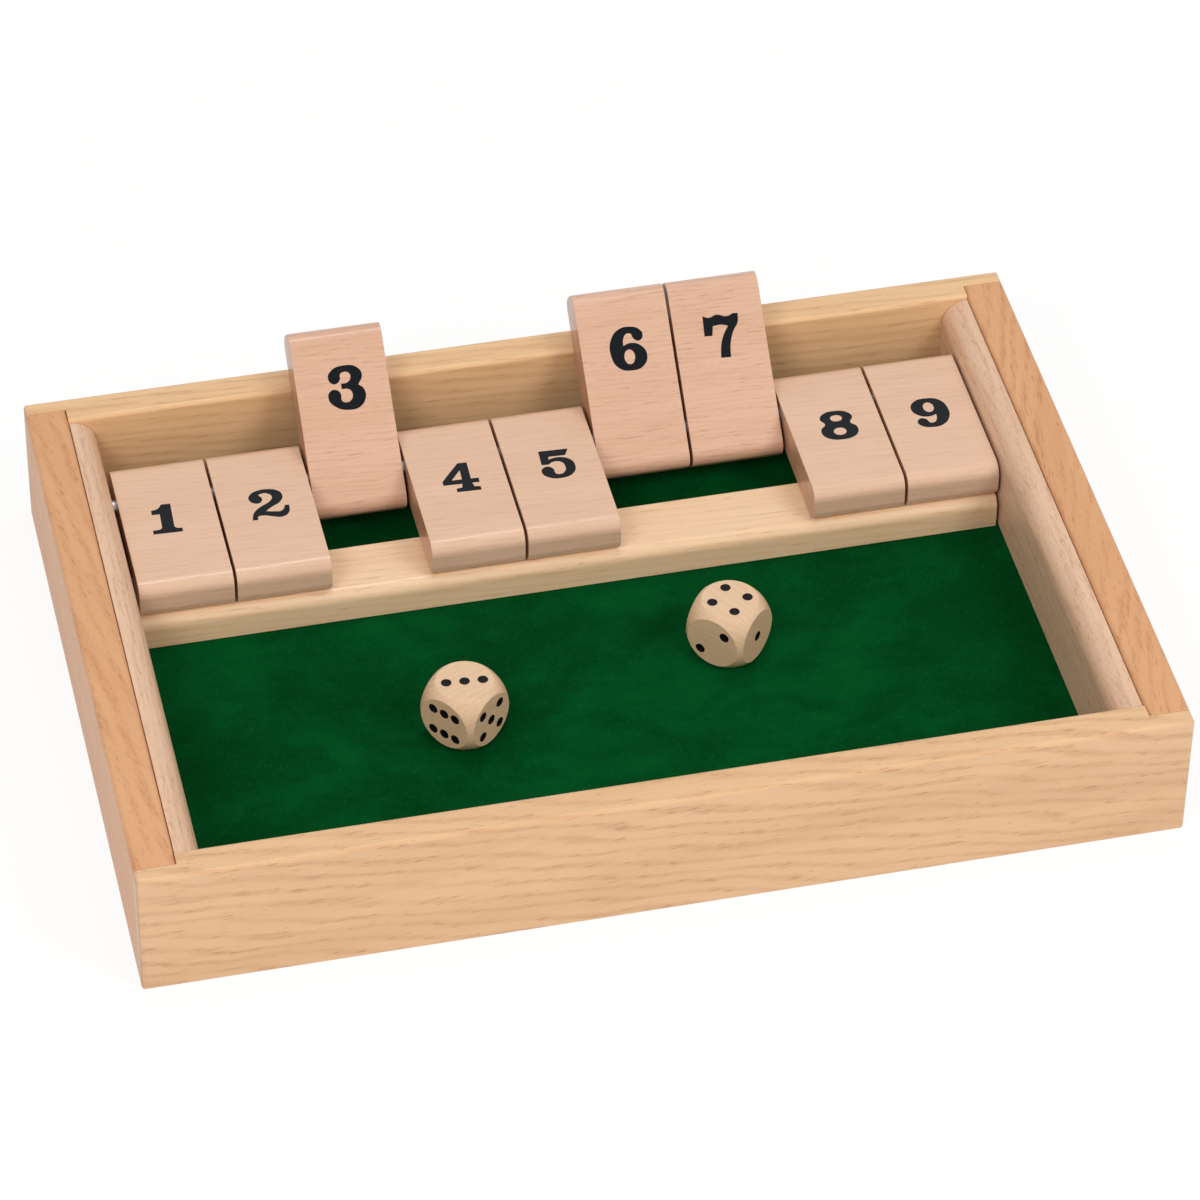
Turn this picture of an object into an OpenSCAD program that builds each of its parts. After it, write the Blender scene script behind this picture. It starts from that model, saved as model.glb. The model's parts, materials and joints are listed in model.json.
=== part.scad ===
// Shut-the-box game: a rabbeted wooden tray with a felt floor, nine tiles that swing on one
// steel rod, the rail that carries the tiles when they are down, and two dice.
// Millimetres. X runs along the tile row, the player sits on the -Y side and +Z is up.
// The origin is the middle of the tray's footprint, on the table.

/* [Tray] */
// Width of the tray, along the tile row
tray_w = 250; // [225:1:300]
// Depth of the tray, from the player's side to the back
tray_d = 170; // [155:1:210]
// Height of the walls
tray_h = 35; // [32:0.5:44]
// Thickness of the front and back walls
long_wall_t = 8.5; // [7:0.5:12]
// Thickness of the side walls
side_wall_t = 10; // [7:0.5:14]
// Depth of the rebates in the ends of the front and back walls
rebate_depth = 4.25; // [3:0.25:6]
// Rounding of the rims and of the outer corners
rim_r = 1.2; // [0.5:0.1:2]
// Rounding of the outer bottom edges
foot_r = 0.5; // [0.2:0.1:1]

/* [Floor] */
// Thickness of the plywood panel
panel_t = 4; // [3:0.5:6]
// Height of the panel's underside above the table
panel_lift = 3.5; // [2:0.5:6]
// How far the panel's edges reach into the grooves of the walls
panel_grip = 3.5; // [2:0.5:5]
// Room for the panel in its grooves, at its edges and above it
panel_play = 0.1; // [0.05:0.05:0.3]
// Thickness of the felt
felt_t = 1; // [0.6:0.1:2]
// Gap between the felt's edges and the walls
felt_gap = 0.2; // [0.1:0.1:1]

/* [Side strips] */
// Thickness of the strips that line the side walls
strip_t = 6.6; // [5:0.1:10]
// Flat left on top of a strip beside its rounded inner edge
strip_land = 0.3; // [0.2:0.1:3]
// How far the strips stop below the rim
strip_drop = 1; // [0.5:0.5:3]
// Gap at the ends of a strip
strip_gap = 0.1; // [0.05:0.05:0.5]

/* [Pivot rod] */
// Diameter of the rod
rod_d = 4; // [3:0.5:6]
// Distance from the back wall's inner face to the rod's axis
rod_setback = 20.3; // [14:0.1:26]
// Depth of the rod's blind holes in the strips
rod_seat = 4; // [2:0.5:6]
// Gap round and behind the rod in its blind holes
rod_seat_gap = 0.05; // [0.02:0.01:0.1]

/* [Tiles] */
// Length of a tile
tile_l = 46.5; // [40:0.5:52]
// Thickness of a tile
tile_t = 10; // [8:0.5:14]
// Rounding of the tile moulding's four long edges
tile_r = 3.5; // [1:0.5:3.9]
// Gap between neighbouring tiles
tile_gap = 0.75; // [0.5:0.05:2]
// Gap between the left strip and the first tile
row_left_gap = 1.3; // [0.5:0.05:3]
// Gap between the last tile and the right strip
row_right_gap = 0.7; // [0.5:0.05:3]
// Distance from a tile's rear end to the rod's axis
pivot_inset = 10; // [8:0.5:12]
// Radial clearance of a tile's hole on the rod
pivot_play = 0.075; // [0.02:0.005:0.1]
// Gap between a raised tile and the back wall's rim
lean_gap = 0.2; // [0.1:0.05:0.5]
// Room for the printed number between a tile and the rail
print_room = 0.05; // [0.04:0.01:0.2]

/* [Tile rail] */
// Width of the rail, front to back
rail_w = 17; // [12:0.5:20]
// Height of the rail
rail_h = 8.8; // [7:0.1:14]
// Rounding of the rail's front top edge
rail_r = 3; // [1:0.5:5]
// Rounding of the rail's rear top edge
rail_back_r = 0.8; // [0.3:0.1:2]
// How far the rail's front stands out past the tiles
rail_lead = 0.7; // [0:0.1:3]
// Gap at the rail's right end
rail_gap = 0.7; // [0.2:0.1:2]

/* [Dice] */
// Edge length of a die
die_edge = 16; // [12:0.5:18]
// Diameter of the ball shape that takes the corners off a die
die_ball_d = 21.2; // [20:0.1:23]
// Diameter of a pip
pip_d = 2.55; // [1.5:0.05:3]
// Depth of a pip
pip_depth = 0.45; // [0.2:0.05:0.8]
// Distance of the outer pips from a face's middle lines
pip_reach = 3.25; // [2.5:0.05:4]
// The same on the faces of three and four
pip_reach_inner = 3.1; // [2.5:0.1:4]
// Left die, sideways from the tray's middle
left_die_x = -36.6; // [-80:0.1:-20]
// Left die, ahead of the rail
left_die_y = 43.7; // [15:0.1:60]
// Turn of the left die
left_die_turn = 40.7; // [-45:0.1:45]
// Right die, sideways from the tray's middle
right_die_x = 31.8; // [10:0.1:80]
// Right die, ahead of the rail
right_die_y = 29.2; // [15:0.1:60]
// Turn of the right die
right_die_turn = -44.4; // [-45:0.1:45]

/* [Hidden] */
$fn = 64;

TILES = 9;
RAISED = [3, 6, 7];
beech = [0.89, 0.73, 0.56];
warm_beech = [0.84, 0.62, 0.42];
pale_beech = [0.93, 0.80, 0.67];
die_wood = [0.88, 0.73, 0.60];
plywood = [0.80, 0.66, 0.47];
felt_green = [0.02, 0.30, 0.12];
steel = [0.70, 0.71, 0.73];

// The hollow of the tray
inner_w = tray_w - 2 * side_wall_t;
inner_d = tray_d - 2 * long_wall_t;
floor_z = panel_lift + panel_t;
felt_z = floor_z + felt_t;
groove_depth = panel_grip + panel_play;
groove_h = panel_t + panel_play;

// The tile row, between the strips
row_w = inner_w - 2 * strip_t;
tile_w = (row_w - row_left_gap - row_right_gap - (TILES - 1) * tile_gap) / TILES;
tile_pitch = tile_w + tile_gap;
row_x = (row_left_gap - row_right_gap) / 2;
rod_y = inner_d / 2 - rod_setback;
rod_z = felt_z + rail_h + print_room + tile_t / 2;
rail_front = rod_y + pivot_inset - tile_l - rail_lead;

// A raised tile leans back on the round of the back wall's rim. The round's axis is at a
// distance rim_reach from the rod, and the tile's middle plane passes over it.
rim_dy = rod_setback + rim_r;
rim_dz = tray_h - rim_r - rod_z;
rim_reach = norm([rim_dy, rim_dz]);
lean = atan2(rim_dz, rim_dy) + asin((tile_t / 2 + rim_r + lean_gap) / rim_reach);
raise = 180 - lean;

// A pip is a shallow cap of a ball
pip_ball_r = (pow(pip_depth, 2) + pow(pip_d / 2, 2)) / (2 * pip_depth);

// Each face of a die: its number, and the turn that takes the top to that face
DIE_FACES = [[1, [0, 90, 0]], [2, [-90, 0, 0]], [3, [0, 0, 90]],
             [4, [180, 0, 0]], [5, [90, 0, 0]], [6, [0, -90, 0]]];

// Outside of a rounded corner whose sharp point is the origin
module corner_waste(r) {
    difference() {
        translate([-1, -1]) square(r + 1);
        translate([r, r]) circle(r);
    }
}

// Rectangle from low to high. Radii go round from the low corner: left, right, right, left.
module outline(low, high, radii) {
    size = high - low;
    difference() {
        translate(low) square(size);
        for (i = [0:3])
            if (radii[i] > 0)
                translate([i == 1 || i == 2 ? high[0] : low[0], i >= 2 ? high[1] : low[1]])
                    rotate(90 * i)
                        corner_waste(radii[i]);
    }
}

// Runs a Y-Z profile along X
module along_x(length) {
    rotate([90, 0, 90]) linear_extrude(length, center = true) children();
}

// Runs an X-Z profile along Y
module along_y(length) {
    rotate([90, 0, 0]) linear_extrude(length, center = true) children();
}

// The front wall, rebated at both ends and grooved for the panel. The back wall mirrors it.
module long_wall() {
    outer = -tray_d / 2;
    inner = -inner_d / 2;
    difference() {
        intersection() {
            along_x(tray_w) outline([outer, 0], [inner, tray_h], [foot_r, 0, rim_r, rim_r]);
            along_y(tray_d) outline([-tray_w / 2, 0], [tray_w / 2, tray_h], [foot_r, foot_r, rim_r, rim_r]);
            linear_extrude(tray_h) outline([-tray_w / 2, outer], [tray_w / 2, inner], [rim_r, rim_r, 0, 0]);
        }
        for (side = [-1, 1])
            translate([side * tray_w / 2, inner, tray_h / 2])
                cube([2 * side_wall_t, 2 * rebate_depth, tray_h + 2], center = true);
        translate([0, inner, panel_lift + groove_h / 2])
            cube([inner_w + 2 * groove_depth, 2 * groove_depth, groove_h], center = true);
    }
}

// The left wall, held between the rebates and grooved from end to end. The right wall mirrors it.
module side_wall() {
    outer = -tray_w / 2;
    inner = -inner_w / 2;
    length = inner_d + 2 * rebate_depth;
    difference() {
        along_y(length) outline([outer, 0], [inner, tray_h], [foot_r, 0, rim_r, rim_r]);
        translate([inner, 0, panel_lift + groove_h / 2])
            cube([2 * groove_depth, length + 2, groove_h], center = true);
    }
}

module front_wall() {
    color(beech) long_wall();
}

module back_wall() {
    color(beech) mirror([0, 1, 0]) long_wall();
}

module left_wall() {
    color(warm_beech) side_wall();
}

module right_wall() {
    color(warm_beech) mirror([1, 0, 0]) side_wall();
}

module base_panel() {
    color(plywood)
        translate([0, 0, panel_lift + panel_t / 2])
            cube([inner_w + 2 * panel_grip, inner_d + 2 * panel_grip, panel_t], center = true);
}

module felt() {
    color(felt_green)
        translate([0, 0, floor_z + felt_t / 2])
            cube([inner_w - 2 * felt_gap, inner_d - 2 * felt_gap, felt_t], center = true);
}

// The strip on the left wall, with a round inner top edge and a blind hole for the rod
module side_strip() {
    outer = -inner_w / 2;
    inner = outer + strip_t;
    strip_r = strip_t - strip_land;
    hole_l = rod_seat + rod_seat_gap;
    difference() {
        along_y(inner_d - 2 * strip_gap)
            outline([outer, felt_z], [inner, tray_h - strip_drop], [0, 0, strip_r, 0]);
        translate([inner - hole_l, rod_y, rod_z])
            rotate([0, 90, 0])
                cylinder(h = hole_l + 1, d = rod_d + 2 * rod_seat_gap);
    }
}

module left_strip() {
    color(pale_beech) side_strip();
}

module right_strip() {
    color(pale_beech) mirror([1, 0, 0]) side_strip();
}

module tile_rail() {
    color(pale_beech)
        translate([-rail_gap / 2, 0, 0])
            along_x(row_w - rail_gap)
                outline([rail_front, felt_z], [rail_front + rail_w, felt_z + rail_h], [0, 0, rail_back_r, rail_r]);
}

module pivot_rod() {
    color(steel)
        translate([0, rod_y, rod_z])
            rotate([0, 90, 0])
                cylinder(h = row_w + 2 * rod_seat, d = rod_d, center = true);
}

// One tile on the rod, down on the rail or raised against the back wall
module tile(number) {
    up = len(search(number, RAISED)) > 0;
    x = row_x + (number - (TILES + 1) / 2) * tile_pitch;
    color(beech)
        translate([x, rod_y, rod_z])
            rotate([up ? -raise : 0, 0, 0])
                difference() {
                    along_x(tile_w)
                        outline([pivot_inset - tile_l, -tile_t / 2], [pivot_inset, tile_t / 2],
                                [tile_r, tile_r, tile_r, tile_r]);
                    rotate([0, 90, 0])
                        cylinder(h = tile_w + 2, d = rod_d + 2 * pivot_play, center = true);
                }
}

// Middles of the pips on a face, for an outer distance r
function pip_spots(number, r) = concat(
    number % 2 == 1 ? [[0, 0]] : [],
    number > 1 ? [[r, r], [-r, -r]] : [],
    number > 3 ? [[r, -r], [-r, r]] : [],
    number == 6 ? [[r, 0], [-r, 0]] : []);

// A die about its own middle, with three on top
module die() {
    color(die_wood)
        difference() {
            intersection() {
                cube(die_edge, center = true);
                sphere(d = die_ball_d);
            }
            for (face = DIE_FACES)
                rotate(face[1])
                    for (spot = pip_spots(face[0], face[0] == 3 || face[0] == 4 ? pip_reach_inner : pip_reach))
                        translate([spot[0], spot[1], die_edge / 2 - pip_depth + pip_ball_r])
                            sphere(r = pip_ball_r);
        }
}

// Stands a die on the felt: sideways from the middle, ahead of the rail, turned
module on_felt(x, ahead, turn) {
    translate([x, rail_front - ahead, felt_z + die_edge / 2]) rotate(turn) children();
}

module left_die() {
    on_felt(left_die_x, left_die_y, left_die_turn) die();
}

module right_die() {
    on_felt(right_die_x, right_die_y, right_die_turn) rotate([180, 0, 0]) die();
}

front_wall();
back_wall();
left_wall();
right_wall();
base_panel();
felt();
left_strip();
right_strip();
tile_rail();
pivot_rod();
for (number = [1:TILES])
    tile(number);
left_die();
right_die();
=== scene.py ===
"""The looks of a shut-the-box game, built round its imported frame. Metres, in the frame's own axes."""

import json
import math

import bmesh
import bpy
from mathutils import Matrix, Vector, noise


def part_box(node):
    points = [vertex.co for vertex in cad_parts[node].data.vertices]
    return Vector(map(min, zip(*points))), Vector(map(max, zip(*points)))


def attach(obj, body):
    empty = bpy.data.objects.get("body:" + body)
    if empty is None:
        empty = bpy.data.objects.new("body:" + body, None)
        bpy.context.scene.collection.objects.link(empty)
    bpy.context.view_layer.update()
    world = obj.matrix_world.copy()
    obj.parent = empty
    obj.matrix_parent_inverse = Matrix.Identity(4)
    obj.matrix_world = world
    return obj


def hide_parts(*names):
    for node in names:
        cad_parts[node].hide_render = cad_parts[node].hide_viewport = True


MM = 0.001
PX = 1 / 1200

# Edges of the wooden pieces that the sander has broken
WALL_EASE = 0.25 * MM
TILE_EASE = 0.2 * MM
DIE_EASE = 0.7 * MM
SEAM_W = 0.22 * MM
SEAM_DEPTH = 1.5 * MM
SHARP_ANGLE = math.radians(30)
FLAT_ANGLE = math.radians(0.5)
WELD = 0.002 * MM

# Felt
FELT_WAVE = 0.06 * MM
FELT_WAVE_SCALE = 45
FELT_CELLS = (115, 76)

# Printed numbers: the film's thickness and its turn, and where it lies on the underside, from the rod.
# Each print has drifted a little sideways; on top, it lies this far from the rod.
INK_T = 0.05 * MM
NUMBER_TURN = math.radians(-2.5)
UNDER_NUMBER = 21 * MM
NUMBER_DRIFT = {1: -1.0, 2: 0.65, 3: 0.7, 4: 0.35, 5: 0.9, 6: 0.35, 7: 0.5, 8: 0.55, 9: 0.4}
TOP_NUMBER = {1: 11.9, 2: 12.0, 3: 12.2, 4: 12.1, 5: 12.2, 6: 12.2, 7: 12.2, 8: 12.7, 9: 12.9}

# Dice: pips are hollows, no wider than this and bounded by creases; faces end this far from the middle.
# Paint lies just above the hollow.
PIP_D = 3 * MM
PIP_CREASE = math.radians(20)
RIM_REACH = 10.3 * MM
PAINT_LIFT = 0.02 * MM
PAINT_T = 0.04 * MM

# Wood, in repeats to the metre along the grain and across it: bands, fibres, and the pores of cut ends
PER_METRE = 1000
BAND_GRAIN = (10, 90, 90)
FIBRE_GRAIN = (190, 2600, 2600)
PORE_GRAIN = (1500, 1900, 1900)
# Growth lines across the grain for rings 1 mm apart: the wave texture's scale, and that of its torn edges
RING_SCALE = 628
TORN_SCALE = 2100
GRAIN_RELIEF = 0.02 * MM

# Studio: a lamp is its name, place, size in metres, watts and whether it shows in gloss
LAMPS = (
    ("overhead", (0.05, 0.3, 1.2), 0.3, 1.8, True),
    ("left_key", (-0.6, -0.71, 0.91), 0.5, 5.6, False),
    ("right_key", (0.6, -0.71, 0.91), 0.5, 5.6, False),
)
ROOM_COLOUR = (1, 0.95, 0.87, 1)
ROOM_STRENGTH = 0.41
FLOOR_SIZE = 3
FLOOR_GREY = 0.85
FLOOR_GLOW = 1.05
# How much of the floor's own shade the glow hides; the rest keeps the shadow
FLOOR_GLOW_SHARE = 0.84

# Camera
FOCAL_PX = 5660
CAMERA_ELEVATION = math.radians(42.54)
CAMERA_AZIMUTH = math.radians(-13.5)
CAMERA_ROLL = math.radians(0.91)
CAMERA_DISTANCE = 1.3998
CAMERA_TARGET = Vector((7.38 * MM, 22.21 * MM, 0))
SENSOR = 36

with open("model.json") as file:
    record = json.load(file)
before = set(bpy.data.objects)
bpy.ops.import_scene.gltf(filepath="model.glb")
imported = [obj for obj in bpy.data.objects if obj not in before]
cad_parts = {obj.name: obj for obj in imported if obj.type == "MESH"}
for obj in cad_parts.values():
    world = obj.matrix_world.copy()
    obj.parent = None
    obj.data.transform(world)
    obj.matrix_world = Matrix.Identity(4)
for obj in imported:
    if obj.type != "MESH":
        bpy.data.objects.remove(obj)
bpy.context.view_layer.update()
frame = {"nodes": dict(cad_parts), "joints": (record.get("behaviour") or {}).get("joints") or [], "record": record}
BODY_OF = {node: body for body, nodes in frame["record"]["behaviour"]["bodies"].items() for node in nodes}
HINGES = {joint["child"]: joint for joint in frame["joints"] if joint["type"] == "hinge"}


# Shader arithmetic


def srgb(red, green, blue):
    """A colour written as 0 to 255 display values, for a colour socket."""

    def linear(value):
        value = value / 255
        return value / 12.92 if value <= 0.04045 else ((value + 0.055) / 1.055) ** 2.4

    return (linear(red), linear(green), linear(blue), 1)


class Field:
    """What varies over a surface: a shader socket that takes part in Python arithmetic."""

    def __init__(self, finish, socket):
        self.finish = finish
        self.socket = socket

    def __add__(self, other):
        return self.finish.math("ADD", self, other)

    def __sub__(self, other):
        return self.finish.math("SUBTRACT", self, other)

    def __rsub__(self, other):
        return self.finish.math("SUBTRACT", other, self)

    def __mul__(self, other):
        return self.finish.math("MULTIPLY", self, other)

    __radd__ = __add__
    __rmul__ = __mul__


class Finish:
    """A material, or the world, with the few nodes that its pattern is made of."""

    def __init__(self, tree):
        self.tree = tree
        tree.nodes.clear()

    @classmethod
    def material(cls, name, **constants):
        material = bpy.data.materials.new(name)
        material.use_nodes = True
        finish = cls(material.node_tree)
        finish.made = material
        finish.surface = finish.add("ShaderNodeBsdfPrincipled", out=None)
        finish.output = finish.add("ShaderNodeOutputMaterial", out=None)
        finish.tree.links.new(finish.surface.outputs[0], finish.output.inputs["Surface"])
        for socket, value in constants.items():
            finish.surface.inputs[socket.replace("_", " ")].default_value = value
        return finish

    def add(self, kind, settings=None, values=None, out=0):
        """Adds a node: its settings first, then the values or links of its sockets."""
        node = self.tree.nodes.new(kind)
        for key, value in (settings or {}).items():
            setattr(node, key, value)
        pairs = enumerate(values) if isinstance(values, list) else (values or {}).items()
        for key, value in pairs:
            if isinstance(value, Field):
                self.tree.links.new(value.socket, node.inputs[key])
            else:
                node.inputs[key].default_value = value
        return node if out is None else Field(self, node.outputs[out])

    def math(self, operation, *values):
        return self.add("ShaderNodeMath", {"operation": operation}, list(values))

    def feed(self, socket, field):
        self.tree.links.new(field.socket, self.surface.inputs[socket])

    def coordinates(self, output="Object"):
        return self.add("ShaderNodeTexCoord", out=output)

    def in_view(self):
        """1 for what is seen directly, in a mirror or through glass, and 0 for what only lights."""
        rays = self.add("ShaderNodeLightPath", out=None)
        camera, glossy, glass = [
            Field(self, rays.outputs[f"Is {kind} Ray"]) for kind in ("Camera", "Glossy", "Transmission")
        ]
        return camera + glossy + glass

    def stretched(self, vector, scale, turn=0.0):
        values = {"Vector": vector, "Scale": scale, "Rotation": (0, 0, turn)}
        return self.add("ShaderNodeMapping", values=values)

    def noise(self, vector, detail=2.0, roughness=0.5, distortion=0.0):
        values = {
            "Vector": vector, "Scale": 1.0, "Detail": detail, "Roughness": roughness,
            "Distortion": distortion,
        }
        return self.add("ShaderNodeTexNoise", values=values)

    def wave(self, vector, distortion):
        values = {
            "Vector": vector, "Scale": 1.0, "Distortion": distortion, "Detail": 3.0, "Detail Scale": 0.6,
        }
        settings = {"bands_direction": "DIAGONAL"}
        return self.add("ShaderNodeTexWave", settings, values, out=1)

    def between(self, field, low, high):
        """0 where the field is under low, 1 where it is over high, and smooth between them."""
        settings = {"interpolation_type": "SMOOTHSTEP"}
        return self.add("ShaderNodeMapRange", settings, {"Value": field, "From Min": low, "From Max": high})

    def mix(self, factor, first, second):
        settings = {"data_type": "RGBA", "blend_type": "MIX"}
        return self.add("ShaderNodeMix", settings, {0: factor, 6: first, 7: second}, out=2)

    def bump(self, height, distance, strength):
        values = {"Strength": strength, "Distance": distance, "Height": height}
        self.feed("Normal", self.add("ShaderNodeBump", values=values))


# Finishes


def wood(name, pale, deep, fleck, along="X", tilt=0.0, turn=0.0, seed=0.0, streaks=0.5, flecks=0.6,
         line_l=30, fleck_l=3.5, fleck_w=0.42, sparse=0.68, ring=3.2, wave=0.6, cut_shade=0.9, sticks=None,
         roughness=0.4, coat=0.25):
    """Lacquered beech: soft bands, growth lines, fine fibres and short dark flecks along the grain.

    The grain runs along an axis, tilted to it; turn is its turn about Z. Lengths of lines and flecks, the
    flecks' width and the rings' distance are in millimetres. Streaks and flecks say how strongly each shows,
    and a higher sparse leaves fewer flecks. Wave is how much the growth lines follow regular rings and not
    noise. End grain is darker by cut_shade. Sticks, as (start, pitch) along X, gives each piece its own
    grain.
    """
    finish = Finish.material(name, Roughness=roughness, Coat_Weight=coat, Coat_Roughness=0.18)
    place = finish.coordinates()
    offset = (seed, seed * 0.7, seed * 1.3)
    if sticks:
        start, pitch = sticks
        x = finish.add("ShaderNodeSeparateXYZ", values=[place])
        stick = finish.math("FLOOR", (x - start) * (1 / pitch))
        jump = finish.add("ShaderNodeCombineXYZ", values=[stick * 0.37, stick * 0.61, stick * 0.83])
        place = finish.add("ShaderNodeVectorMath", {"operation": "ADD"}, [place, jump])
    quarter = math.pi / 2 if along == "Y" else 0
    lean = (tilt * (along == "Y"), tilt * (along == "X"), -quarter - turn)
    grain = finish.add("ShaderNodeMapping", values={"Vector": place, "Rotation": lean, "Location": offset})
    long, ring_n, torn_n = PER_METRE / line_l, RING_SCALE / ring, TORN_SCALE / ring
    fleck_grain = (PER_METRE / fleck_l, PER_METRE / fleck_w, PER_METRE / fleck_w)
    bands = finish.noise(finish.stretched(grain, BAND_GRAIN), detail=3, roughness=0.55, distortion=0.5)
    rings = finish.wave(finish.stretched(grain, (long, ring_n, ring_n)), distortion=8.0)
    torn = finish.noise(finish.stretched(grain, (long, torn_n, torn_n)), detail=3, roughness=0.6)
    fibre = finish.noise(finish.stretched(grain, FIBRE_GRAIN), detail=3, roughness=0.65)
    specks = finish.noise(finish.stretched(grain, fleck_grain), detail=1, roughness=0.4)
    lines = finish.between(rings * wave + torn, 0.4 + wave * 0.5, 0.65 + wave)
    dark = finish.between(specks + lines * 0.12, sparse, sparse + 0.09)
    colour = finish.mix(finish.between(bands, 0.35, 0.7) * (streaks * 0.7), pale, deep)
    colour = finish.mix(lines * streaks, colour, deep)
    colour = finish.mix(finish.between(fibre, 0.5, 0.8) * (streaks * 0.5), colour, deep)
    colour = finish.mix(dark * flecks, colour, fleck)
    normal = finish.add("ShaderNodeSeparateXYZ", values=[finish.coordinates("Normal")], out=along)
    end = finish.between(finish.math("ABSOLUTE", normal), 0.7, 0.9)
    pores = finish.between(finish.noise(finish.stretched(grain, PORE_GRAIN), detail=2), 0.5, 0.7)
    cut = finish.mix(finish.between(bands, 0.35, 0.7), deep, fleck)
    cut = finish.mix(pores * 0.35, cut, fleck)
    finish.feed("Base Color", finish.mix(end * cut_shade, colour, cut))
    finish.feed("Roughness", fibre * 0.16 + (roughness - 0.06))
    finish.bump(fibre * 0.4 + torn * 0.4 - dark * 0.2, GRAIN_RELIEF, 0.5)
    return finish.made


def felt_cloth():
    """Short-piled felt: crushed patches and a mottle of fibres."""
    finish = Finish.material("green_felt", Roughness=1.0)
    finish.surface.inputs["Specular IOR Level"].default_value = 0.05
    place = finish.coordinates()
    patches = finish.noise(
        finish.stretched(place, (50, 60, 50), 0.4), detail=5, roughness=0.6, distortion=0.3
    )
    brushed = finish.noise(finish.stretched(place, (90, 260, 200), 1.1), detail=4, roughness=0.6)
    pile = finish.noise(finish.stretched(place, (700, 700, 700)), detail=3, roughness=0.7)
    hairs = finish.noise(finish.stretched(place, (2600, 500, 1200), 0.6), detail=2)
    colour = finish.mix(finish.between(patches, 0.36, 0.7), srgb(0, 62, 24), srgb(2, 78, 34))
    colour = finish.mix(finish.between(brushed, 0.4, 0.75) * 0.3, colour, srgb(0, 50, 18))
    colour = finish.mix(finish.between(pile, 0.5, 0.8) * 0.35, colour, srgb(6, 96, 46))
    colour = finish.mix(finish.between(hairs, 0.62, 0.8) * 0.3, colour, srgb(24, 116, 62))
    finish.feed("Base Color", colour)
    finish.bump(pile * 0.6 + hairs * 0.6, 0.2 * MM, 0.5)
    return finish.made


def steel():
    finish = Finish.material("bare_steel", Metallic=1.0, Roughness=0.28)
    place = finish.coordinates()
    drawn = finish.noise(finish.stretched(place, (30, 3000, 3000)), detail=2)
    finish.feed("Base Color", finish.mix(drawn, srgb(165, 166, 170), srgb(205, 206, 210)))
    finish.feed("Roughness", drawn * 0.2 + 0.2)
    finish.bump(drawn, 0.01 * MM, 0.3)
    return finish.made


def ink(name, colour, worn, roughness):
    """Printed or brushed black, a little thin on the wood's fibres."""
    finish = Finish.material(name, Roughness=roughness)
    finish.surface.inputs["Specular IOR Level"].default_value = 0.15
    place = finish.coordinates()
    film = finish.noise(finish.stretched(place, (400, 1800, 1800)), detail=3)
    finish.feed("Base Color", finish.mix(finish.between(film, 0.5, 0.85), colour, worn))
    finish.feed("Roughness", film * 0.16 + (roughness - 0.08))
    finish.bump(film, 0.01 * MM, 0.3)
    return finish.made


def tile_sticks():
    """Where the first tile starts, and the tiles' pitch: each tile has its own grain."""
    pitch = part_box("tile_2")[0].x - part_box("tile_1")[0].x
    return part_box("tile_1")[0].x - TILE_EASE, pitch


FRONT_BEECH = wood(
    "front_beech", srgb(230, 188, 145), srgb(204, 157, 113), srgb(184, 134, 90),
    tilt=math.radians(4.5), seed=1.2, streaks=0.5, flecks=0.6, fleck_l=4, fleck_w=0.36, ring=4.2,
)
BACK_BEECH = wood(
    "back_beech", srgb(240, 199, 152), srgb(208, 163, 114), srgb(172, 126, 84),
    tilt=math.radians(1.5), seed=5.3, streaks=0.45, flecks=0.35, line_l=45, fleck_l=6, fleck_w=0.36,
    ring=3, wave=0.3,
)
LEFT_BEECH, RIGHT_BEECH = [
    wood(
        side + "_side_beech", srgb(222, 168, 122), srgb(203, 143, 98), srgb(184, 116, 74),
        along="Y", turn=math.radians(turn), seed=seed, streaks=0.45, flecks=0.6, line_l=35, fleck_l=3,
        fleck_w=0.3, sparse=0.65, ring=4, wave=0.3, roughness=0.5, coat=0.1,
    )
    for side, turn, seed in (("left", 16, 2.2), ("right", -7, 4.4))
]
STRIP_BEECH = wood(
    "strip_beech", srgb(231, 194, 165), srgb(207, 161, 129), srgb(180, 130, 98),
    along="Y", turn=math.radians(4), seed=7.9, streaks=0.4, flecks=0.42, fleck_l=2.4, fleck_w=0.3,
    sparse=0.62, ring=2.5, wave=0.2,
)
RAIL_BEECH = wood(
    "rail_beech", srgb(243, 209, 172), srgb(226, 184, 140), srgb(190, 146, 104),
    tilt=math.radians(1), seed=9.4, streaks=0.45, flecks=0.35, line_l=45, fleck_l=5, ring=2.4, wave=0.3,
    coat=0.5,
)
TILE_BEECH = wood(
    "tile_beech", srgb(229, 191, 163), srgb(209, 166, 137), srgb(184, 136, 108),
    tilt=math.radians(2), seed=11.7, streaks=0.3, flecks=0.2, line_l=18, fleck_l=4, fleck_w=0.35, ring=1.6,
    wave=0.15, sticks=tile_sticks(), coat=0.5,
)
# A darker, pinker copy of the tile wood for the raised tiles only: painted shade and tint for how the light falls
# on their raised faces.
RAISED_TILE_SHADED_BEECH = wood(
    "raised_tile_painted_shade_beech", srgb(224, 182, 155), srgb(200, 150, 120), srgb(172, 120, 94),
    tilt=math.radians(2), seed=14.2, streaks=0.4, flecks=0.35, line_l=18, fleck_l=4, fleck_w=0.35, ring=1.6,
    wave=0.15, sticks=tile_sticks(), coat=0.5,
)
DIE_BEECH = {
    node: wood(
        node + "_beech", srgb(229, 195, 161), srgb(208, 168, 128), srgb(184, 140, 102),
        turn=math.radians(turn), seed=seed, streaks=0.3, flecks=0.15, line_l=12, ring=1.8, wave=0.3,
        cut_shade=0.4,
    )
    for node, turn, seed in (("left_die", 41, 17.5), ("right_die", -44, 19.1))
}
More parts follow.
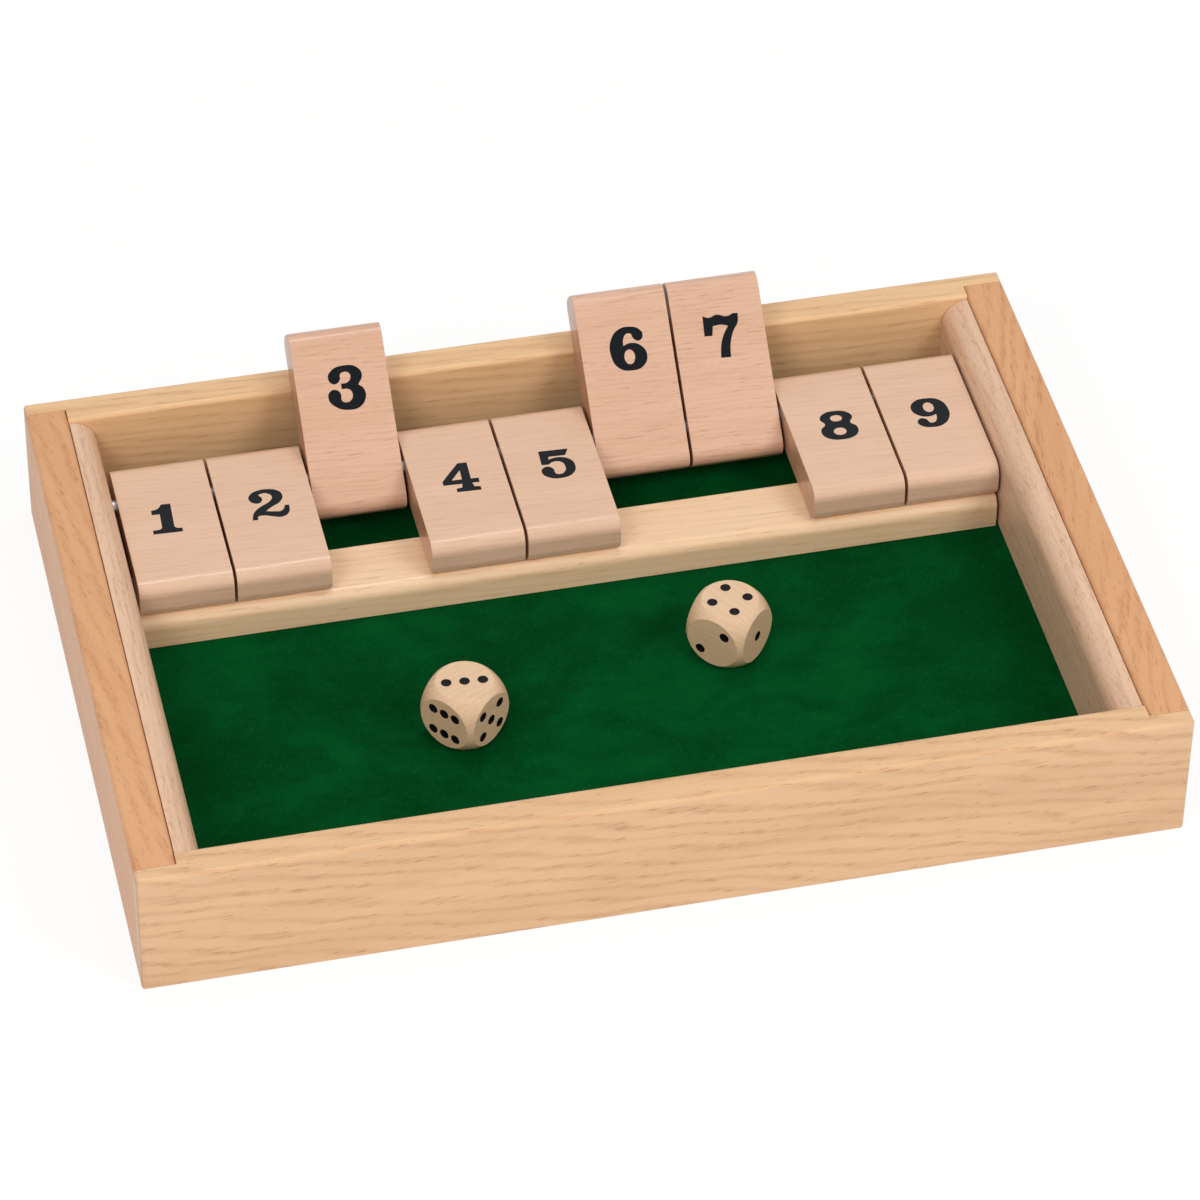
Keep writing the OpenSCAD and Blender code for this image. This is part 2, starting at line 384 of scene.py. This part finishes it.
PANEL_PLY = wood(
    "panel_plywood", srgb(214, 176, 128), srgb(184, 142, 94), srgb(120, 84, 52),
    seed=3.1, streaks=0.8, flecks=0.5, line_l=60, fleck_l=6, roughness=0.65, coat=0.0,
)
GREEN_FELT = felt_cloth()
BARE_STEEL = steel()
NUMBER_INK = ink("number_ink", srgb(8, 14, 20), srgb(24, 29, 35), 0.3)
PIP_PAINT = ink("pip_paint", srgb(12, 10, 14), srgb(30, 26, 30), 0.4)
WOOD_OF = {
    "front_wall": FRONT_BEECH, "back_wall": BACK_BEECH, "left_wall": LEFT_BEECH, "right_wall": RIGHT_BEECH,
    "tile_rail": RAIL_BEECH, "base_panel": PANEL_PLY,
}


# Pieces


def cad_copy(node):
    """A merged copy of a CAD node's mesh, with its flat faces whole."""
    bm = bmesh.new()
    bm.from_mesh(frame["nodes"][node].data)
    bmesh.ops.remove_doubles(bm, verts=bm.verts, dist=WELD)
    bmesh.ops.dissolve_limit(bm, angle_limit=FLAT_ANGLE, verts=bm.verts, edges=bm.edges)
    return bm


def ease(bm, width, segments=2, chosen=lambda edge: True):
    """Breaks the sharp edges."""
    sharp = [e for e in bm.edges if e.is_manifold and e.calc_face_angle() > SHARP_ANGLE and chosen(e)]
    bmesh.ops.bevel(
        bm, geom=sharp, offset=width, offset_type="OFFSET", segments=segments, profile=0.5,
        affect="EDGES", clamp_overlap=True, material=-1,
    )


def piece(name, bm, material, node, replaces=False, smooth=True):
    """Makes the piece that a bmesh holds, with one material, on the body of a CAD node."""
    mesh = bpy.data.meshes.new(name)
    bm.to_mesh(mesh)
    bm.free()
    made = bpy.data.objects.new(name, mesh)
    bpy.context.scene.collection.objects.link(made)
    mesh.materials.append(material)
    for face in mesh.polygons:
        face.use_smooth = smooth
    if smooth:
        weighted = made.modifiers.new("even_shading", "WEIGHTED_NORMAL")
        weighted.keep_sharp = True
    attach(made, BODY_OF[node])
    if replaces:
        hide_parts(node)
    return made


def dressed(node, material, width):
    """A CAD node with its edges broken, and its foot kept on the plane where it stands."""
    bm = cad_copy(node)
    ease(bm, width)
    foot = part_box(node)[0].z
    for vert in bm.verts:
        vert.co.z = max(vert.co.z, foot)
    return piece(node + "_wood", bm, material, node, replaces=True)


def open_seam(bm, outer):
    """Planes the upper outer edge off a strip, so that a seam shows beside the wall."""
    top = max(v.co.z for v in bm.verts)
    edge = [e for e in bm.edges if all(abs(v.co.x - outer) < WELD and top - v.co.z < WELD for v in e.verts)]
    bmesh.ops.bevel(
        bm, geom=edge, offset=SEAM_W, offset_type="OFFSET", segments=1, profile=0.5,
        affect="EDGES", clamp_overlap=True, material=-1,
    )
    for vert in bm.verts:
        if abs(vert.co.x - outer) < WELD and top - vert.co.z < 2 * SEAM_W:
            vert.co.z -= SEAM_DEPTH


def tray():
    for node, material in WOOD_OF.items():
        dressed(node, material, WALL_EASE)
    strips = (("left_strip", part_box("left_strip")[0].x), ("right_strip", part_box("right_strip")[1].x))
    for node, outer in strips:
        bm = cad_copy(node)
        open_seam(bm, outer)
        ease(bm, WALL_EASE)
        piece(node + "_wood", bm, STRIP_BEECH, node, replaces=True)
    rod = cad_copy("pivot_rod")
    ease(rod, WALL_EASE)
    piece("pivot_rod_steel", rod, BARE_STEEL, "pivot_rod", replaces=True)


def felt():
    low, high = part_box("felt")
    size = high - low
    bm = bmesh.new()
    bmesh.ops.create_grid(bm, x_segments=FELT_CELLS[0], y_segments=FELT_CELLS[1], size=0.5)
    bmesh.ops.scale(bm, vec=(size.x, size.y, 1), verts=bm.verts)
    bmesh.ops.translate(bm, vec=((low.x + high.x) / 2, (low.y + high.y) / 2, high.z), verts=bm.verts)
    for vert in bm.verts:
        vert.co.z -= FELT_WAVE * (0.5 + 0.5 * noise.noise(vert.co * FELT_WAVE_SCALE))
    rim = [e for e in bm.edges if e.is_boundary]
    drop = bmesh.ops.extrude_edge_only(bm, edges=rim)
    skirt = [v for v in drop["geom"] if isinstance(v, bmesh.types.BMVert)]
    for vert in skirt:
        vert.co.z = low.z
    bmesh.ops.holes_fill(bm, edges=[e for e in bm.edges if e.is_boundary], sides=0)
    bmesh.ops.recalc_face_normals(bm, faces=bm.faces)
    made = piece("felt_sheet", bm, GREEN_FELT, "felt", replaces=True)


# Numbers. Millimetres from the middle of a number's foot; a third value marks a sharp corner.

CORNER = True
ONE = [[
    (-3.6, 0, CORNER), (3.6, 0, CORNER), (3.6, 1.35, CORNER), (2.3, 1.5, CORNER), (1.75, 2.1, CORNER),
    (1.75, 10.6, CORNER), (-0.5, 10.6, CORNER), (-1.5, 9.2), (-3.2, 8.6, CORNER), (-3.2, 7.1, CORNER),
    (-1.25, 7.1, CORNER), (-1.25, 2.1, CORNER), (-1.8, 1.5, CORNER), (-3.6, 1.35, CORNER),
]]
TWO = [[
    (-3.0, 6.0), (-4.7, 7.6), (-4.2, 9.5), (-2.3, 10.7), (0.3, 10.9), (2.7, 10.0), (3.6, 8.0), (2.7, 5.8),
    (0.4, 4.2), (-1.1, 2.9, CORNER), (0.9, 2.5), (2.7, 2.5), (3.8, 4.4, CORNER), (4.8, 4.4, CORNER),
    (4.3, 1.5), (2.6, 0.3), (0.5, 0.7), (-1.7, 1.4), (-3.2, 1.2), (-3.4, 0, CORNER), (-4.8, 0, CORNER),
    (-4.1, 2.7), (-2.2, 4.7), (0.2, 6.3), (1.0, 8.0), (0.1, 9.3), (-1.3, 9.5), (-2.3, 9.0, CORNER),
    (-1.5, 7.8), (-1.8, 6.5),
]]
THREE = [[
    (-2.9, 6.6), (-4.2, 8.2), (-3.2, 10.1), (0.0, 11.1), (3.2, 10.4), (4.3, 8.4), (3.2, 6.1, CORNER),
    (4.5, 4.8), (4.6, 2.5), (3.0, 0.5), (0.2, 0), (-3.0, 1.0), (-4.6, 3.2), (-4.0, 4.9), (-2.5, 5.2),
    (-1.4, 4.1), (-1.3, 2.4), (-0.1, 1.9), (1.1, 2.5), (1.5, 3.8), (0.9, 5.0), (-1.1, 5.3, CORNER),
    (-1.1, 6.6, CORNER), (0.6, 6.9), (1.4, 8.1), (1.0, 9.2), (0.0, 9.5), (-1.1, 9.0), (-1.3, 7.6),
]]
FOUR = [
    [
        (-1.5, 0, CORNER), (4.5, 0, CORNER), (4.5, 1.3, CORNER), (3.0, 1.5, CORNER), (2.7, 2.9, CORNER),
        (4.5, 2.9, CORNER), (4.5, 4.5, CORNER), (2.6, 4.5, CORNER), (2.5, 10.6, CORNER), (0.2, 10.6, CORNER),
        (-3.8, 5.3), (-4.5, 4.3, CORNER), (-4.5, 2.9, CORNER), (0.2, 2.9, CORNER), (0.0, 1.5, CORNER),
        (-1.5, 1.3, CORNER),
    ],
    [(0.35, 8.0, CORNER), (-2.2, 4.5, CORNER), (0.35, 4.5, CORNER)],
]
FIVE = [[
    (-3.9, 10.6, CORNER), (3.5, 10.6, CORNER), (2.5, 8.3, CORNER), (-1.7, 8.3, CORNER), (-1.9, 7.3, CORNER),
    (0.5, 7.8), (3.2, 6.8), (4.3, 4.2), (3.2, 1.2), (0.2, 0), (-3.0, 0.8), (-4.3, 2.7), (-3.6, 4.4),
    (-2.2, 4.6), (-1.2, 3.5), (-1.0, 2.0), (0.1, 1.5), (1.4, 2.3), (1.8, 4.2), (1.1, 5.9), (-0.8, 6.3),
    (-2.2, 5.4, CORNER), (-3.9, 5.5, CORNER),
]]
SIX = [
    [
        (4.6, 3.6), (3.4, 0.9), (0.2, 0), (-3.0, 1.0), (-4.6, 4.6), (-4.0, 8.4), (-2.0, 10.5), (0.6, 11.0),
        (3.2, 10.2), (4.0, 8.6), (2.9, 7.3), (1.6, 7.9), (0.9, 9.2), (-0.2, 9.2), (-1.0, 8.0),
        (-1.2, 6.3, CORNER), (0.7, 6.9), (3.2, 6.1),
    ],
    [(-1.2, 3.6), (0.15, 5.3), (1.5, 3.6), (0.15, 1.6)],
]
SEVEN = [[
    (-4.5, 10.8, CORNER), (-3.0, 10.3), (-0.9, 10.9), (1.7, 10.3), (3.2, 10.9, CORNER), (4.5, 10.9, CORNER),
    (4.3, 8.7), (2.9, 6.4), (1.9, 3.4), (1.6, 0, CORNER), (-0.9, 0, CORNER), (-0.6, 2.9), (0.3, 5.6),
    (1.7, 7.9, CORNER), (-0.1, 8.3), (-2.1, 8.1, CORNER), (-2.5, 5.7, CORNER), (-4.5, 5.7, CORNER),
]]
EIGHT = [
    [
        (0, 10.9), (3.0, 10.1), (4.1, 8.2), (3.2, 6.1), (4.5, 4.4), (4.3, 1.9), (2.5, 0.4), (0, 0),
        (-2.5, 0.4), (-4.3, 1.9), (-4.5, 4.4), (-3.2, 6.1), (-4.1, 8.2), (-3.0, 10.1),
    ],
    [(-1.5, 8.1), (0, 9.3), (1.5, 8.1), (0, 6.9)],
    [(-1.6, 3.1), (0, 4.5), (1.6, 3.1), (0, 1.7)],
]
NUMBER_H = 11
NINE = [[(-x, NUMBER_H - y, *corner) for x, y, *corner in loop] for loop in SIX]
OUTLINES = dict(zip(range(1, 10), (ONE, TWO, THREE, FOUR, FIVE, SIX, SEVEN, EIGHT, NINE)))


def number_bmesh(loops):
    """A number as a thin film, lying in X and Y about its own middle."""
    curve = bpy.data.curves.new("number", "CURVE")
    curve.dimensions = "2D"
    curve.fill_mode = "BOTH"
    curve.resolution_u = 6
    curve.extrude = INK_T / 2
    for loop in loops:
        spline = curve.splines.new("BEZIER")
        spline.bezier_points.add(len(loop) - 1)
        spline.use_cyclic_u = True
        for point, (x, y, *corner) in zip(spline.bezier_points, loop):
            point.co = (x * MM, (y - NUMBER_H / 2) * MM, 0)
            point.handle_left_type = point.handle_right_type = "VECTOR" if corner else "AUTO"
    drawn = bpy.data.objects.new("number", curve)
    bpy.context.scene.collection.objects.link(drawn)
    bpy.context.view_layer.update()
    bm = bmesh.new()
    bm.from_mesh(drawn.evaluated_get(bpy.context.evaluated_depsgraph_get()).to_mesh())
    bmesh.ops.remove_doubles(bm, verts=bm.verts, dist=WELD)
    bmesh.ops.recalc_face_normals(bm, faces=bm.faces)
    bpy.data.objects.remove(drawn)
    bpy.data.curves.remove(curve)
    return bm


def tile_turn(node):
    """The turn about the rod that takes a tile from the rail to where it rests."""
    hinge = HINGES[node]
    rod = Matrix.Translation(hinge["pos_m"])
    angle = math.radians(hinge["range_deg"][0])
    return rod @ Matrix.Rotation(angle, 4, "X") @ rod.inverted()


def tiles():
    low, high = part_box("tile_1")
    half_t = (high.z - low.z) / 2
    for number in range(1, 10):
        node = f"tile_{number}"
        raised = HINGES[node]["range_deg"][0] < 0
        # Raised tiles take the copy of the tile wood with painted shade and tint.
        dressed(node, RAISED_TILE_SHADED_BEECH if raised else TILE_BEECH, TILE_EASE)
        rod = Vector(HINGES[node]["pos_m"])
        low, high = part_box(node)
        middle = (low.x + high.x) / 2 + NUMBER_DRIFT[number] * MM
        top = Matrix.Translation((middle, rod.y - TOP_NUMBER[number] * MM, rod.z + half_t))
        under = Matrix.Translation((middle, rod.y - UNDER_NUMBER, rod.z - half_t))
        under @= Matrix.Rotation(math.pi, 4, "X")
        for side, place in (("top", top), ("under", under)):
            bm = number_bmesh(OUTLINES[number])
            bm.transform(tile_turn(node) @ place @ Matrix.Rotation(NUMBER_TURN, 4, "Z"))
            piece(f"number_{number}_{side}", bm, NUMBER_INK, node, smooth=False)


def patches(bm):
    """The faces of a mesh, grouped by the sharp edges between them."""
    left = set(bm.faces)
    while left:
        patch, edge_of_patch = set(), [left.pop()]
        while edge_of_patch:
            face = edge_of_patch.pop()
            patch.add(face)
            for edge in face.edges:
                if edge.calc_face_angle(0) < PIP_CREASE:
                    reached = left.intersection(edge.link_faces)
                    left -= reached
                    edge_of_patch += reached
        yield patch


def spread(faces):
    """The longest side of the box round some faces."""
    points = [v.co for face in faces for v in face.verts]
    return max(max(p[axis] for p in points) - min(p[axis] for p in points) for axis in range(3))


def dice():
    for node in ("left_die", "right_die"):
        low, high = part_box(node)
        middle = (low + high) / 2
        paint = cad_copy(node)
        rest = [face for patch in patches(paint) if spread(patch) > PIP_D for face in patch]
        bmesh.ops.delete(paint, geom=rest, context="FACES")
        for vert in paint.verts:
            vert.co += vert.normal * PAINT_LIFT
        bmesh.ops.solidify(paint, geom=paint.faces, thickness=PAINT_T)
        piece(node + "_pips", paint, PIP_PAINT, node)
        bm = cad_copy(node)
        ease(bm, DIE_EASE, 3, lambda e: all((v.co - middle).length > RIM_REACH for v in e.verts))
        piece(node + "_wood", bm, DIE_BEECH[node], node, replaces=True)


def main():
    tray()
    felt()
    tiles()
    dice()


# Studio


def camera():
    data = bpy.data.cameras.new("camera")
    data.sensor_width = SENSOR
    data.lens = SENSOR * FOCAL_PX * PX
    data.clip_end = 20
    back = Vector((
        math.sin(CAMERA_AZIMUTH) * math.cos(CAMERA_ELEVATION),
        -math.cos(CAMERA_AZIMUTH) * math.cos(CAMERA_ELEVATION),
        math.sin(CAMERA_ELEVATION),
    ))
    right = Vector((0, 0, 1)).cross(back).normalized()
    turn = Matrix((right, back.cross(right), back)).transposed().to_4x4()
    made = bpy.data.objects.new("camera", data)
    place = Matrix.Translation(CAMERA_TARGET + back * CAMERA_DISTANCE)
    made.matrix_world = place @ turn @ Matrix.Rotation(CAMERA_ROLL, 4, "Z")
    bpy.context.scene.collection.objects.link(made)
    bpy.context.scene.camera = made


def softbox(name, place, size, watts, mirrored):
    data = bpy.data.lights.new(name, "AREA")
    data.size = size
    data.energy = watts
    made = bpy.data.objects.new(name, data)
    made.visible_glossy = mirrored
    aim = Vector(place).to_track_quat("Z", "Y").to_matrix().to_4x4()
    made.matrix_world = Matrix.Translation(place) @ aim
    bpy.context.scene.collection.objects.link(made)


def white_room():
    """White where it is seen or mirrored, and a dim warm light for all else."""
    world = bpy.data.worlds.new("studio")
    bpy.context.scene.world = world
    world.use_nodes = True
    finish = Finish(world.node_tree)
    seen = finish.in_view()
    white = finish.add("ShaderNodeBackground", values={"Color": (1, 1, 1, 1), "Strength": 1.0})
    dim = finish.add("ShaderNodeBackground", values={"Color": ROOM_COLOUR, "Strength": ROOM_STRENGTH})
    both = finish.add("ShaderNodeMixShader", values=[seen, dim, white])
    finish.add("ShaderNodeOutputWorld", values=[both], out=None)


def pale_floor():
    """A floor that looks white and still takes the shadow."""
    floor_mesh = bpy.data.meshes.new("floor")
    bm = bmesh.new()
    bmesh.ops.create_grid(bm, x_segments=1, y_segments=1, size=FLOOR_SIZE)
    bm.to_mesh(floor_mesh)
    bm.free()
    floor = bpy.data.objects.new("floor", floor_mesh)
    bpy.context.scene.collection.objects.link(floor)
    finish = Finish.material("floor", Base_Color=(FLOOR_GREY, FLOOR_GREY, FLOOR_GREY, 1), Roughness=0.9)
    share = finish.in_view() * FLOOR_GLOW_SHARE
    glow = finish.add("ShaderNodeEmission", values={"Strength": FLOOR_GLOW})
    shade = Field(finish, finish.surface.outputs[0])
    mixed = finish.add("ShaderNodeMixShader", values=[share, shade, glow])
    finish.tree.links.new(mixed.socket, finish.output.inputs["Surface"])
    floor_mesh.materials.append(finish.made)


def studio():
    for lamp in LAMPS:
        softbox(*lamp)
    white_room()
    pale_floor()
    bpy.context.scene.view_settings.view_transform = "Standard"


main()
camera()
studio()
